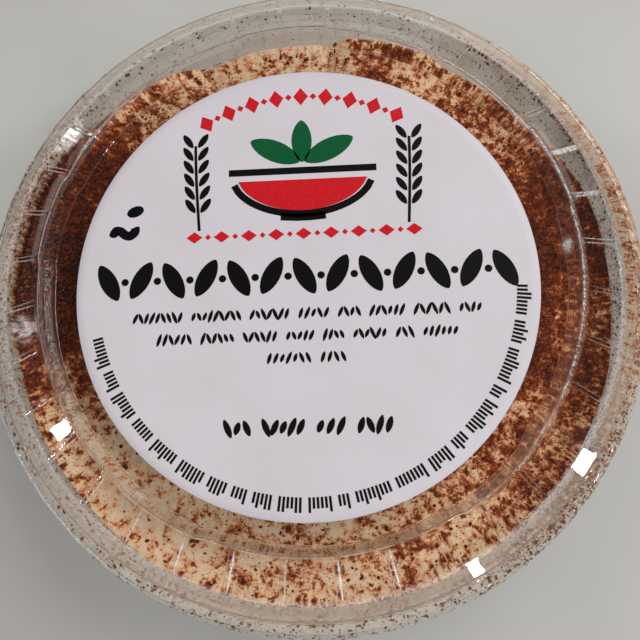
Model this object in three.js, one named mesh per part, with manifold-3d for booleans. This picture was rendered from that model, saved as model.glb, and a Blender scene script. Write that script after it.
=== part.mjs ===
// A shut, clear deli tub of rice pudding: a round thermoformed tub, the pudding that fills it, a press-on lid
// whose flat top is sunk inside a stacking ring, and a round paper label in that recess.
// Millimetres, +Z up, +Y towards the top of the label. The tub stands on z = 0 with its axis on the Z axis.

import * as THREE from "three";
import { mergeVertices } from "three/addons/utils/BufferGeometryUtils.js";
import Module from "manifold-3d";

// ---------------------------------------------------------------- driving dimensions

const GAP = 0.3; // between neighbouring pieces
const COLUMNS_ROUND = 72; // columns of a plain turned piece

const TUB = {
  wall: 0.6,
  footRadius: 44.9, // flat underside
  cornerRadius: 6,
  draft: THREE.MathUtils.degToRad(9),
  rimTop: 24.9,
  rimRadius: 56,
  lipDrop: 1.3, // the rim's turned-down edge
};

const PUDDING = {
  level: 20.3,
  meniscus: 0.35, // how far the cream climbs the wall
  meniscusWidth: 2.4,
  clumps: 60, // cinnamon clumps large enough to be seen from a step away
  clumpRadius: [0.55, 1.35],
  clumpHeight: [0.3, 0.5],
  seed: 20617,
};

// Long low swells of the pudding's skin: height, wavelength, heading in degrees, phase in degrees.
const SWELLS = [
  { height: 0.16, length: 37, heading: 20, phase: 40 },
  { height: 0.13, length: 23, heading: 110, phase: 200 },
  { height: 0.1, length: 15, heading: 65, phase: 310 },
];

// Where the cinnamon fell thickest: two drifts, by direction in degrees round the tub.
const DRIFTS = [
  { heading: 172, spread: 34, weight: 1 },
  { heading: -8, spread: 48, weight: 0.8 },
];
const THIN_DUSTING = 0.22;

// The side where the pudding was filled lower: it falls away towards the wall there.
const LOW_SIDE = { heading: 77, spread: 48, depth: 3.6, inner: 20 };

const LID = {
  film: 0.4,
  seat: 23.7, // height of the skirt's lower edge above the table
  skirtRadius: 57.15,
  panelHeight: 6.2, // these heights are above the skirt's lower edge
  recessRadius: 42.5,
  ringHeight: 9.9,
  ringInner: 42.9,
  ringOuter: 43.6,
  shoulderRadius: 50.7,
  shoulderHeight: 6.2,
  shoulderCrown: 0.45,
  flangeRadius: 53.7,
  flangeHeight: 2.1,
};

const RIBS = { count: 36, phase: 4.4, halfWidth: 1, height: 0.3, inner: 44.5, outer: 50.3 };
const NOTCHES = { count: 5, phase: 22, halfWidth: 11, ramp: 2.5, depth: 0.45, fade: 0.6 };

const LABEL = { radius: 38.1, thickness: 0.2, gap: 0.1, offset: [-0.45, -0.65] };

// ---------------------------------------------------------------- materials

const clearPlastic = (name) =>
  new THREE.MeshStandardMaterial({
    name,
    color: 0xe4e6e4,
    roughness: 0.08,
    metalness: 0,
    transparent: true,
    opacity: 0.25,
  });
const materials = {
  tub: clearPlastic("clear_tub"),
  lid: clearPlastic("clear_lid"),
  paper: new THREE.MeshStandardMaterial({
    name: "label_paper",
    color: 0xe0dde2,
    roughness: 0.7,
    metalness: 0,
  }),
  pudding: new THREE.MeshStandardMaterial({
    name: "pudding",
    color: 0xc79f74,
    roughness: 0.55,
    metalness: 0,
  }),
};

// ---------------------------------------------------------------- helpers

const point = (r, z) => new THREE.Vector2(r, z);
const radians = THREE.MathUtils.degToRad;

// Angles of evenly spaced columns, in radians.
const evenColumns = (count) => Array.from({ length: count }, (_, i) => (i / count) * 2 * Math.PI);

// How far an angle in degrees is from the nearest of `count` evenly spaced directions that start at `phase`.
function degreesFromNearest(angle, count, phase) {
  const pitch = 360 / count;
  const past = THREE.MathUtils.euclideanModulo(angle - phase, pitch);
  return Math.min(past, pitch - past);
}

// A body turned about the Z axis from a profile that starts and ends on it. `shape` may move each point of
// the profile at each column: it takes and returns a point and gets the column's angle.
function turned(profile, columns, shape = (p) => p) {
  const geometry = new THREE.LatheGeometry(profile, columns.length);
  const position = geometry.getAttribute("position");
  for (let column = 0; column <= columns.length; column++) {
    const angle = columns[column % columns.length];
    profile.forEach((p, row) => {
      const { x: r, y: z } = shape(p, angle);
      position.setXYZ(column * profile.length + row, r * Math.cos(angle), r * Math.sin(angle), z);
    });
  }
  geometry.deleteAttribute("normal");
  geometry.deleteAttribute("uv");
  return mergeVertices(geometry, 1e-4);
}

// The other face of a sheet: the open outline moved sideways by `thickness`, with mitred corners.
function otherFace(outline, thickness) {
  const normal = (a, b) => point(b.y - a.y, a.x - b.x).normalize();
  return outline.map((p, i) => {
    const before = i > 0 ? normal(outline[i - 1], p) : normal(p, outline[i + 1]);
    const after = i < outline.length - 1 ? normal(p, outline[i + 1]) : before;
    const mitre = before.clone().add(after).normalize();
    return p.clone().addScaledVector(mitre, thickness / mitre.dot(before));
  });
}

// Points on a circular arc, both ends included, angles in radians.
const arc = (r, z, radius, from, to, steps) =>
  Array.from({ length: steps + 1 }, (_, i) => {
    const a = from + ((to - from) * i) / steps;
    return point(r + radius * Math.cos(a), z + radius * Math.sin(a));
  });

// A small repeatable random source.
function randomSource(seed) {
  let state = seed;
  return () => {
    state = (state + 0x6d2b79f5) | 0;
    let t = Math.imul(state ^ (state >>> 15), 1 | state);
    t = (t + Math.imul(t ^ (t >>> 7), 61 | t)) ^ t;
    return ((t ^ (t >>> 14)) >>> 0) / 4294967296;
  };
}

// ---------------------------------------------------------------- tub

// The tub's outer outline from the middle of its foot to the wall's top: flat foot, round corner, drafted
// wall. `inset` moves it inwards everywhere, for the inner face and for what the tub holds.
function tubOutline(inset, top) {
  const radius = TUB.cornerRadius - inset;
  const corner = arc(TUB.footRadius, TUB.cornerRadius, radius, -Math.PI / 2, -TUB.draft, 4);
  return [point(0, inset), ...corner, point(wallRadius(inset, top), top)];
}

// Radius of the drafted wall at a height, `inset` from its outer face.
function wallRadius(inset, z) {
  const radius = TUB.cornerRadius - inset;
  const cornerTop = TUB.cornerRadius - radius * Math.sin(TUB.draft);
  return TUB.footRadius + radius * Math.cos(TUB.draft) + (z - cornerTop) * Math.tan(TUB.draft);
}

function makeContainer() {
  const underRim = TUB.rimTop - TUB.wall;
  const lipBottom = TUB.rimTop - TUB.lipDrop;
  const outside = tubOutline(0, underRim);
  const rim = [
    point(TUB.rimRadius - TUB.wall, underRim),
    point(TUB.rimRadius - TUB.wall, lipBottom),
    point(TUB.rimRadius, lipBottom),
    point(TUB.rimRadius, TUB.rimTop - TUB.wall / 2),
    point(TUB.rimRadius - TUB.wall / 2, TUB.rimTop),
  ];
  const inside = tubOutline(TUB.wall, TUB.rimTop).reverse();
  const profile = [...outside, ...rim, ...inside];
  const container = new THREE.Mesh(turned(profile, evenColumns(COLUMNS_ROUND)), materials.tub);
  container.name = "container";
  return container;
}

// ---------------------------------------------------------------- pudding

const puddingRadius = (z) => wallRadius(TUB.wall + GAP, z);

// Signed turn in degrees from one heading to another, between -180 and 180.
const turnFrom = (heading, angle) => THREE.MathUtils.euclideanModulo(angle - heading + 180, 360) - 180;

// Height of the pudding's skin above its level at a place.
function skinHeight(x, y) {
  const swell = SWELLS.reduce((sum, { height, length, heading, phase }) => {
    const along = x * Math.cos(radians(heading)) + y * Math.sin(radians(heading));
    return sum + height * Math.sin((2 * Math.PI * along) / length + radians(phase));
  }, 0);
  const r = Math.hypot(x, y);
  const edge = puddingRadius(PUDDING.level);
  const climb = PUDDING.meniscus * Math.exp(-(((edge - r) / PUDDING.meniscusWidth) ** 2));
  const away = turnFrom(LOW_SIDE.heading, THREE.MathUtils.radToDeg(Math.atan2(y, x)));
  const outwards = THREE.MathUtils.smoothstep(r, LOW_SIDE.inner, edge);
  const fall = LOW_SIDE.depth * outwards * Math.exp(-((away / LOW_SIDE.spread) ** 4));
  return swell + climb - fall;
}

// Share of the thickest dusting that fell at an angle in degrees.
function dusting(angle) {
  return DRIFTS.reduce((most, { heading, spread, weight }) => {
    return Math.max(most, weight * Math.exp(-((turnFrom(heading, angle) / spread) ** 2)));
  }, THIN_DUSTING);
}

// Flattened crumbs of cinnamon, half sunk in the skin.
function clumpGeometries() {
  const random = randomSource(PUDDING.seed);
  const between = ([low, high]) => low + (high - low) * random();
  const clumps = [];
  while (clumps.length < PUDDING.clumps) {
    const radius = between(PUDDING.clumpRadius);
    const reach = puddingRadius(PUDDING.level - LOW_SIDE.depth) - 2 * radius;
    const r = reach * Math.sqrt(random());
    const angle = 360 * random();
    if (random() > dusting(angle)) continue;
    const x = r * Math.cos(radians(angle));
    const y = r * Math.sin(radians(angle));
    const geometry = new THREE.IcosahedronGeometry(1, 0);
    geometry.rotateX(Math.PI * random());
    geometry.scale(radius * (1 + random()) * 0.7, radius, between(PUDDING.clumpHeight));
    geometry.rotateZ(2 * Math.PI * random());
    geometry.translate(x, y, PUDDING.level + skinHeight(x, y));
    clumps.push(geometry);
  }
  return clumps;
}

const wasm = await Module();
wasm.setup();

function toSolid(geometry) {
  const bare = geometry.clone();
  bare.deleteAttribute("normal");
  bare.deleteAttribute("uv");
  const merged = mergeVertices(bare, 1e-4);
  return new wasm.Manifold(
    new wasm.Mesh({
      numProp: 3,
      vertProperties: merged.getAttribute("position").array,
      triVerts: new Uint32Array(merged.index.array),
    }),
  );
}

function fromSolid(solid) {
  const mesh = solid.getMesh();
  const geometry = new THREE.BufferGeometry();
  geometry.setAttribute("position", new THREE.BufferAttribute(mesh.vertProperties, 3));
  geometry.setIndex(new THREE.BufferAttribute(mesh.triVerts, 1));
  geometry.computeVertexNormals();
  return geometry;
}

function makePudding() {
  const side = tubOutline(TUB.wall + GAP, PUDDING.level);
  const edge = puddingRadius(PUDDING.level);
  const rings = [0.965, 0.9, 0.78, 0.64, 0.5, 0.36, 0.2];
  const top = [...rings.map((share) => point(edge * share, PUDDING.level)), point(0, PUDDING.level)];
  const raiseSkin = (p, angle) => {
    if (p.y < PUDDING.level) return p;
    const z = PUDDING.level + skinHeight(p.x * Math.cos(angle), p.x * Math.sin(angle));
    return point((p.x / edge) * puddingRadius(z), z);
  };
  const core = turned([...side, ...top], evenColumns(COLUMNS_ROUND), raiseSkin);
  const solid = clumpGeometries().reduce((sum, clump) => sum.add(toSolid(clump)), toSolid(core));
  const pudding = new THREE.Mesh(fromSolid(solid), materials.pudding);
  pudding.name = "pudding";
  return pudding;
}

// ---------------------------------------------------------------- lid

// The lid's upper face from the middle of its panel to the skirt's lower edge, above that edge.
function lidOutline() {
  const shoulder = [RIBS.inner, (RIBS.inner + RIBS.outer) / 2, RIBS.outer].map((r) => {
    const share = (r - LID.ringOuter) / (LID.shoulderRadius - LID.ringOuter);
    const straight = THREE.MathUtils.lerp(LID.ringHeight, LID.shoulderHeight, share);
    return point(r, straight + LID.shoulderCrown * Math.sin(Math.PI * share));
  });
  return [
    point(0, LID.panelHeight),
    point(LID.recessRadius, LID.panelHeight),
    point(LID.ringInner, LID.ringHeight),
    point(LID.ringOuter, LID.ringHeight),
    ...shoulder,
    point(LID.shoulderRadius, LID.shoulderHeight),
    point(LID.flangeRadius, LID.flangeHeight),
    point(LID.skirtRadius - 1.2, LID.flangeHeight - 0.1),
    point(LID.skirtRadius - 0.35, LID.flangeHeight - 0.9),
    point(LID.skirtRadius, 0),
  ];
}

// Columns on each rib's crest, at its two feet and halfway to the next rib, so that a rib is a narrow ridge.
function ribColumns() {
  const pitch = 360 / RIBS.count;
  const steps = [-RIBS.halfWidth, 0, RIBS.halfWidth, pitch / 2];
  const columns = [];
  for (let rib = 0; rib < RIBS.count; rib++) {
    steps.forEach((step) => columns.push(radians(RIBS.phase + rib * pitch + step)));
  }
  return columns;
}

// Raises the ribs on the shoulder, and sets the stacking ring's inner wall back at its notches.
function shapeLid(p, angle) {
  const degrees = THREE.MathUtils.radToDeg(angle);
  const fromRib = degreesFromNearest(degrees, RIBS.count, RIBS.phase);
  const onShoulder = p.x > RIBS.inner - LID.film && p.x < RIBS.outer + LID.film / 2;
  const rise = onShoulder ? RIBS.height * Math.max(0, 1 - fromRib / RIBS.halfWidth) : 0;
  const fromNotch = degreesFromNearest(degrees, NOTCHES.count, NOTCHES.phase);
  const inNotch = THREE.MathUtils.clamp((NOTCHES.halfWidth - fromNotch) / NOTCHES.ramp, 0, 1);
  const pastCrest = (p.x - LID.ringOuter) / NOTCHES.fade + 0.5;
  const setBack = p.x < LID.recessRadius ? 0 : NOTCHES.depth * THREE.MathUtils.clamp(1 - pastCrest, 0, 1);
  return point(p.x + setBack * inNotch, p.y + rise);
}

function makeLid() {
  const above = lidOutline();
  const below = otherFace(above, LID.film).map((p) => (p.x < 1e-6 ? point(0, p.y) : p));
  below[below.length - 1] = point(LID.skirtRadius - LID.film, 0);
  const profile = [...below, ...above.reverse()];
  const lid = new THREE.Mesh(turned(profile, ribColumns(), shapeLid), materials.lid);
  lid.name = "lid";
  return lid;
}

function makeLabel() {
  const profile = [
    point(0, 0),
    point(LABEL.radius, 0),
    point(LABEL.radius, LABEL.thickness),
    point(0, LABEL.thickness),
  ];
  const label = new THREE.Mesh(turned(profile, evenColumns(COLUMNS_ROUND)), materials.paper);
  label.name = "label";
  label.position.set(LABEL.offset[0], LABEL.offset[1], LID.panelHeight + LABEL.gap);
  return label;
}

// ---------------------------------------------------------------- assembly

const cover = new THREE.Group();
cover.position.z = LID.seat;
cover.add(makeLid(), makeLabel());

const filledTub = new THREE.Group();
filledTub.add(makeContainer(), makePudding());

const ricePudding = new THREE.Group();
ricePudding.add(filledTub, cover);

export default ricePudding;
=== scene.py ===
# A shut deli tub of rice pudding: fine clear shells, the dusted pudding, loose cinnamon and a label.
# Metres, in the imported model's frame: the tub stands on z = 0, +Y points to the top of the label.

import math

import bpy
import numpy as np
from mathutils import Matrix, Vector


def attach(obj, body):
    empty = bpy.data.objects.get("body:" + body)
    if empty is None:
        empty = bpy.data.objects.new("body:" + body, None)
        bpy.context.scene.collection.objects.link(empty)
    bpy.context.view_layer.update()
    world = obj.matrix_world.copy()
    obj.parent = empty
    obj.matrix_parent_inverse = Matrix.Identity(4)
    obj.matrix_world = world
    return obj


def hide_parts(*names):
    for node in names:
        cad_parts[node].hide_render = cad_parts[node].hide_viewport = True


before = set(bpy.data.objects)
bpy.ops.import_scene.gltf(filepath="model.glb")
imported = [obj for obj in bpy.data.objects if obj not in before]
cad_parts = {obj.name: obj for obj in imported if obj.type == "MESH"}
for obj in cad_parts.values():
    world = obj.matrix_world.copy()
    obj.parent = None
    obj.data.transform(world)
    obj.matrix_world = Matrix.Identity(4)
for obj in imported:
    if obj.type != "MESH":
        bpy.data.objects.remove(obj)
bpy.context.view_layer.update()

MM = 0.001
GROUND = -0.0001  # the floor lies this far under the tub's foot

# ------------------------------------------------------------------ sizes, in millimetres and degrees

TUB = dict(wall=0.6, foot=44.9, corner=6.0, draft=math.radians(9), rim_top=24.9, rim=56.0, lip=1.3)
FLUTES = dict(count=540, height=0.018)  # fine upright flutes of the wall
PUDDING = dict(level=20.3, meniscus=0.85, meniscus_width=2.2)
SWELLS = ((0.16, 37, 20, 40), (0.13, 23, 110, 200), (0.10, 15, 65, 310))  # height, length, heading, phase
# Headings in degrees and how far the skin's edge stands under its level there.
# The far side is low, the right a little.
LOW_SIDE = (
    (0, 1.5), (12, 1.1), (19, 1.3), (25, 2.1), (33, 2.9), (37, 3.6), (42, 4.1), (59, 4.0), (64, 2.6),
    (80, 2.5), (85, 4.4), (113, 4.5), (120, 1.6), (136, 0.8), (148, 0.0), (318, 0.0), (340, 0.8), (354, 1.7),
)
LOW_SIDE_INNER = 20
RICE = dict(rounds=26, grains=60)

LID = dict(
    film=0.25, seat=23.7, skirt=57.14, panel=29.9, recess=42.3, ring_top=33.6, ring_inner=43.3,
    ring_outer=43.65, shoulder=50.7, crown=-0.1, ledge=(53.45, 29.03), flange=54.35, flange_top=25.8,
)
RIBS = dict(count=36, phase=4.4, width=0.7, height=0.1, inner=44.5, outer=50.2)
NOTCHES = dict(count=5, phase=22.0, half_angle=11.0, ramp=2.6, depth=0.4)
GRIPS = dict(count=45, phase=6.4, depth=0.08)
LABEL = dict(radius=38.15, bottom=30.0, top=30.2, centre=(-0.40, -0.76))
INK_LOW, INK_HIGH = LABEL["top"] - 0.01, LABEL["top"] + 0.035  # print starts just inside the paper

COLUMNS = dict(tub=1080, pudding=720, label=360)
SEEDS = dict(lid=29, rice=811, label=5)

# ------------------------------------------------------------------ meshes


def link(piece):
    bpy.context.scene.collection.objects.link(piece)
    return piece


def new_object(name, points, faces, material=None, smooth=True):
    """A mesh object at the origin from points in metres and faces of any size."""
    mesh = bpy.data.meshes.new(name)
    mesh.from_pydata([tuple(p) for p in points], [], [tuple(f) for f in faces])
    mesh.validate()
    mesh.shade_smooth() if smooth else mesh.shade_flat()
    piece = link(bpy.data.objects.new(name, mesh))
    if material:
        mesh.materials.append(material)
    return piece


def turned(name, profile, columns, material=None, shape=None):
    """A closed body turned about Z. The profile, (r, z) in millimetres, runs from the axis under it to the
    axis over it. Columns are a number or a list of angles. shape(r, z, angle) may move the points."""
    profile = np.array(profile, float)
    angles = np.arange(columns) * 2 * math.pi / columns if isinstance(columns, int) else np.array(columns)
    columns = len(angles)
    r, a = np.meshgrid(profile[1:-1, 0], angles)
    z, _ = np.meshgrid(profile[1:-1, 1], angles)
    top = profile[-1, 1]
    if shape:
        r, z = shape(r, z, a)
        top = shape(0.0, top, 0.0)[1]
    rows = len(profile) - 2
    body = np.stack([r * np.cos(a), r * np.sin(a), z], -1).reshape(-1, 3)
    points = np.vstack([body, [(0, 0, profile[0, 1]), (0, 0, top)]]) * MM
    first, last = rows * columns, rows * columns + 1
    faces = []
    for c in range(columns):
        here, there = c * rows, (c + 1) % columns * rows
        faces.append((first, there, here))
        faces += [(here + i, there + i, there + i + 1, here + i + 1) for i in range(rows - 1)]
        faces.append((here + rows - 1, there + rows - 1, last))
    return new_object(name, points, faces, material)


def store(piece, name, values):
    """Keeps one number for each vertex."""
    data = piece.data.attributes.new(name, "FLOAT", "POINT")
    data.data.foreach_set("value", np.asarray(values, np.float32))


def coordinates(piece):
    """The piece's vertices in millimetres."""
    co = np.zeros(len(piece.data.vertices) * 3, np.float32)
    piece.data.vertices.foreach_get("co", co)
    return co.reshape(-1, 3).astype(float) / MM


def set_coordinates(piece, co):
    piece.data.vertices.foreach_set("co", (co * MM).astype(np.float32).ravel())
    piece.data.update()


def rounded(outline, radii, steps=3):
    """The outline with its corners rounded: one radius for each point, 0 for a sharp one."""
    out = []
    for i, (point, radius) in enumerate(zip(outline, radii)):
        p = np.array(point, float)
        if radius == 0 or i in (0, len(outline) - 1):
            out.append(tuple(p))
            continue
        before, after = np.array(outline[i - 1]) - p, np.array(outline[i + 1]) - p
        u, v = before / np.linalg.norm(before), after / np.linalg.norm(after)
        half = math.acos(np.clip(u @ v, -1, 1)) / 2
        reach = min(radius / math.tan(half), 0.48 * np.linalg.norm(before), 0.48 * np.linalg.norm(after))
        turn = reach * math.tan(half)
        middle = p + (u + v) / np.linalg.norm(u + v) * turn / math.sin(half)
        a, b = p + u * reach - middle, p + v * reach - middle
        angle = math.acos(np.clip(a @ b / (np.linalg.norm(a) * np.linalg.norm(b)), -1, 1))
        for k in range(steps + 1):
            t = k / steps
            w = (math.sin((1 - t) * angle) * a + math.sin(t * angle) * b) / math.sin(angle)
            out.append(tuple(middle + w))
    return out


def other_face(outline, thickness):
    """The other face of a film whose upper face runs outwards from the axis."""
    p = np.array(outline, float)
    along = np.diff(p, axis=0)
    along /= np.linalg.norm(along, axis=1)[:, None]
    normals = np.stack([along[:, 1], -along[:, 0]], 1)
    before = np.vstack([normals[:1], normals])
    after = np.vstack([normals, normals[-1:]])
    mitre = before + after
    mitre /= np.linalg.norm(mitre, axis=1)[:, None]
    out = p + mitre * (thickness / (mitre * before).sum(1))[:, None]
    out[0, 0] = 0
    return [tuple(q) for q in out]


def between(start, end, shares):
    """Points on the straight line between two points."""
    return [((1 - t) * start[0] + t * end[0], (1 - t) * start[1] + t * end[1]) for t in shares]


def smoothstep(x, low, high):
    t = np.clip((x - low) / (high - low), 0, 1)
    return t * t * (3 - 2 * t)


def band(x, rise, full, ebb, end):
    """Rises smoothly from 0 to 1 between the first two numbers and falls between the last two."""
    return smoothstep(x, rise, full) * (1 - smoothstep(x, ebb, end))


def peak(x, middle, width):
    """1 at the middle, and less and less on both sides."""
    return np.exp(-(((x - middle) / width) ** 2))


def heading_of(x, y):
    return np.degrees(np.arctan2(y, x))


def turn_from(heading, degrees):
    """Signed turn in degrees from a heading, between -180 and 180."""
    return (degrees - heading + 180) % 360 - 180


def bell(degrees, heading, spread):
    """1 at a heading, and less and less to both sides of it."""
    return peak(turn_from(heading, degrees), 0, spread)


def most(degrees, *bells, rest=0.0):
    """The greatest of several bells, each (height, heading, spread), and of the rest."""
    heights = [height * bell(degrees, heading, spread) for height, heading, spread in bells]
    return np.maximum.reduce([*heights, rest + 0 * degrees])


# ------------------------------------------------------------------ node trees


def put(tree, socket, value):
    if isinstance(value, bpy.types.NodeSocket):
        tree.links.new(value, socket)
    elif value is not None:
        socket.default_value = value


def socket_of(sockets, key):
    """A socket by its name or number."""
    if isinstance(key, int):
        return sockets[key]
    return next(s for s in sockets if s.enabled and s.name == key)


def node(tree, kind, inputs=None, out=0, **settings):
    """Adds a node, sets and links what is given, and returns an output, or the node if out is None."""
    made = tree.nodes.new(kind)
    for key, value in settings.items():
        setattr(made, key, value)
    for key, value in (inputs or {}).items():
        put(tree, socket_of(made.inputs, key), value)
    return made if out is None else socket_of(made.outputs, out)


def calc(tree, operation, a, b=None, c=None, clamp=False):
    return node(tree, "ShaderNodeMath", {0: a, 1: b, 2: c}, operation=operation, use_clamp=clamp)


def times(tree, first, *others, clamp=False):
    """The product of several numbers."""
    for other in others:
        first = calc(tree, "MULTIPLY", first, other, clamp=clamp)
    return first


def times_plus(tree, a, b, c, clamp=False):
    return calc(tree, "MULTIPLY_ADD", a, b, c, clamp)


def vector_calc(tree, operation, a, b=None, scale=None, out=0):
    inputs = {0: a, 1: b}
    if scale is not None:
        inputs["Scale"] = scale
    return node(tree, "ShaderNodeVectorMath", inputs, operation=operation, out=out)


def span(tree, value, low, high, to_low=0.0, to_high=1.0, smooth=False):
    """The value's place between low and high, held at the ends."""
    inputs = {"Value": value, "From Min": low, "From Max": high, "To Min": to_low, "To Max": to_high}
    return node(tree, "ShaderNodeMapRange", inputs, interpolation_type="SMOOTHSTEP" if smooth else "LINEAR")


def vector(tree, x=None, y=None, z=None):
    return node(tree, "ShaderNodeCombineXYZ", {0: x, 1: y, 2: z})


def numbers_of(tree, place):
    """A vector's x, y and z."""
    return node(tree, "ShaderNodeSeparateXYZ", {0: place}, out=None).outputs


def draws_of(tree, colour):
    """A colour's red, green and blue, as three random draws."""
    return node(tree, "ShaderNodeSeparateColor", {0: colour}, out=None).outputs


def geometry_tree(name, **inputs):
    """A tree with a geometry input and output, a material and named inputs. Returns it and its input node."""
    tree = bpy.data.node_groups.new(name, "GeometryNodeTree")

    def add(key, kind, value=None, in_out="INPUT"):
        key = key.replace("_", " ")
        item = tree.interface.new_socket(name=key, in_out=in_out, socket_type="NodeSocket" + kind)
        if value is not None:
            item.default_value = value

    add("Geometry", "Geometry")
    for key, value in inputs.items():
        if value is bpy.types.Object:
            add(key, "Object")
        else:
            add(key, "Int" if isinstance(value, int) else "Float", value)
    add("Material", "Material")
    add("Geometry", "Geometry", in_out="OUTPUT")
    return tree, tree.nodes.new("NodeGroupInput")


def end_tree(tree, given, geometry):
    real = node(tree, "GeometryNodeRealizeInstances", {"Geometry": geometry})
    done = node(tree, "GeometryNodeSetMaterial", {"Geometry": real, "Material": given.outputs["Material"]})
    node(tree, "NodeGroupOutput", {0: done}, out=None)


def grown(name, base, tree, material, **values):
    """The base object as the plain mesh that a geometry tree makes of it."""
    modifier = base.modifiers.new(name, "NODES")
    modifier.node_group = tree
    sockets = {s.name: s.identifier for s in tree.interface.items_tree if s.in_out == "INPUT"}
    for key, value in values.items():
        modifier[sockets[key.replace("_", " ")]] = value
    modifier[sockets["Material"]] = material
    bpy.context.view_layer.update()
    seen = base.evaluated_get(bpy.context.evaluated_depsgraph_get())
    mesh = bpy.data.meshes.new_from_object(seen)
    mesh.name = name
    base.modifiers.remove(modifier)
    old = base.data
    base.data = mesh
    bpy.data.meshes.remove(old)
    base.name = name
    if not len(mesh.materials):
        mesh.materials.append(material)
    return base


def attribute(tree, name):
    return node(tree, "GeometryNodeInputNamedAttribute", {"Name": name}, data_type="FLOAT", out="Attribute")


# ------------------------------------------------------------------ materials


def material_tree(name):
    """A new material, its tree and the socket for its surface."""
    material = bpy.data.materials.new(name)
    material.use_nodes = True
    tree = material.node_tree
    tree.nodes.clear()
    output = tree.nodes.new("ShaderNodeOutputMaterial")
    return material, tree, output.inputs["Surface"]


def srgb(*levels):
    """Linear colour of a picture colour from 0 to 255."""
    shares = [level / 255 for level in levels]
    return tuple(c / 12.92 if c <= 0.04045 else ((c + 0.055) / 1.055) ** 2.4 for c in shares) + (1.0,)


def noise(tree, place, size, detail=2.0, roughness=0.5, distortion=0.0):
    """Noise whose patches are about `size` millimetres across."""
    inputs = {"Vector": place, "Scale": 1 / (size * MM), "Detail": detail}
    inputs.update({"Roughness": roughness, "Distortion": distortion})
    return node(tree, "ShaderNodeTexNoise", inputs)


def ramp(tree, value, *stops):
    """Colours along a value: stops are (position, colour)."""
    made = node(tree, "ShaderNodeValToRGB", {0: value}, out=None)
    elements = made.color_ramp.elements
    while len(elements) < len(stops):
        elements.new(0.5)
    for element, (position, colour) in zip(elements, stops):
        element.position = position
        element.color = colour
    return made.outputs[0]


def blend_colours(tree, share, a, b):
    return node(tree, "ShaderNodeMix", {0: share, 6: a, 7: b}, out=2, data_type="RGBA")


def bump(tree, height, distance, strength=1.0):
    return node(tree, "ShaderNodeBump", {"Height": height, "Distance": distance * MM, "Strength": strength})


def object_place(tree):
    return node(tree, "ShaderNodeTexCoord", out="Object")


def stored(tree, name):
    """A number that the mesh keeps for each vertex."""
    return node(tree, "ShaderNodeAttribute", attribute_name=name, out="Fac")


def principled(tree, colour, roughness, **more):
    """A Principled surface. More are its other inputs, by name with _ for a space."""
    inputs = {"Base Color": colour, "Roughness": roughness}
    inputs.update({name.replace("_", " "): value for name, value in more.items()})
    return node(tree, "ShaderNodeBsdfPrincipled", inputs)


def mixed(tree, share, a, b):
    return node(tree, "ShaderNodeMixShader", {0: share, 1: a, 2: b})


def soft_coat(tree, colour, through):
    """A matt coat that passes a share of the light."""
    lit = node(tree, "ShaderNodeBsdfDiffuse", {"Color": colour})
    return mixed(tree, through, lit, node(tree, "ShaderNodeBsdfTranslucent", {"Color": colour}))


WALL_REACH = 0.052  # metres from the axis to the middle of the wall


def around_and_up(tree, place):
    """Coordinates that run round the tub's axis, drawn out outwards and upwards, for streaks up a wall."""
    x, y, z = numbers_of(tree, place)
    around = times(tree, calc(tree, "ARCTAN2", y, x), WALL_REACH)
    outwards = vector_calc(tree, "LENGTH", vector(tree, x, y), out="Value")
    return vector(tree, around, times(tree, outwards, 0.22), times(tree, z, 0.12))


def make_clear_plastic(name, tint, crest=False):
    """Clear film that bends and mirrors light, and lets the lamps' light through to what is under it."""
    material, tree, surface = material_tree(name)
    place = object_place(tree)
    haze = noise(tree, place, 9, detail=5, roughness=0.6)
    rough = span(tree, haze, 0.35, 0.75, 0.01, 0.024)
    height = times(tree, noise(tree, place, 5.5), 0.05)
    clear = 1.0
    if crest:
        # The stacking ring's crest is worn into fine grains, and its inner wall is frosted.
        worn = stored(tree, "crest")
        grain = noise(tree, place, 0.34, roughness=0.6)
        height = times_plus(tree, times(tree, grain, worn), 0.2, height)
        rough = times_plus(tree, worn, 0.1, rough)
        rough = times_plus(tree, stored(tree, "frost"), 0.3, rough)
        # Painted highlights: where the mesh's pale share is high, the film turns from clear to opaque white
        # in random sparkles, standing for glints and bright lines of reflected light.
        pale = times(tree, stored(tree, "pale"), span(tree, grain, 0.43, 0.6, 0.1, 1.9))
        clear = times_plus(tree, pale, -0.6, 1.0, clamp=True)
    relief = bump(tree, height, 1.0, 0.5)
    film = principled(tree, tint, rough, IOR=1.43, Transmission_Weight=clear, Normal=relief)
    # Painted light: a pale, half-translucent sheet hazes the film and brightens it where what lies behind it
    # is in shade.
    painted_light_veil = times(tree, stored(tree, "painted_light_veil"), span(tree, haze, 0.35, 0.65, 0.7, 1.3), clamp=True)
    film = mixed(tree, painted_light_veil, film, soft_coat(tree, srgb(250, 240, 226), 0.58))
    # Cinnamon clings to it in a thin mottled coat.
    coat = stored(tree, "powder")
    blotch = noise(tree, around_and_up(tree, place), 0.7, detail=4, roughness=0.7)
    grit = noise(tree, place, 0.42, roughness=0.65)
    tone = calc(tree, "ADD", blotch, times_plus(tree, grit, 0.6, -0.35))
    tone = times_plus(tree, times(tree, coat, coat), 0.25, tone)
    browns = ramp(
        tree,
        tone,
        (0.48, srgb(242, 228, 208)),
        (0.56, srgb(234, 198, 156)),
        (0.64, srgb(196, 124, 68)),
        (0.76, srgb(110, 50, 20)),
        (0.92, srgb(40, 13, 6)),
    )
    share = times(tree, coat, span(tree, tone, 0.36, 0.68, 0.5, 1.3), clamp=True)
    film = mixed(tree, share, film, soft_coat(tree, browns, 0.5))
    through = node(tree, "ShaderNodeBsdfTransparent", {"Color": (0.985, 0.985, 0.98, 1)})
    lamp_ray = node(tree, "ShaderNodeLightPath", out="Is Shadow Ray")
    put(tree, surface, mixed(tree, lamp_ray, film, through))
    return material


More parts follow.
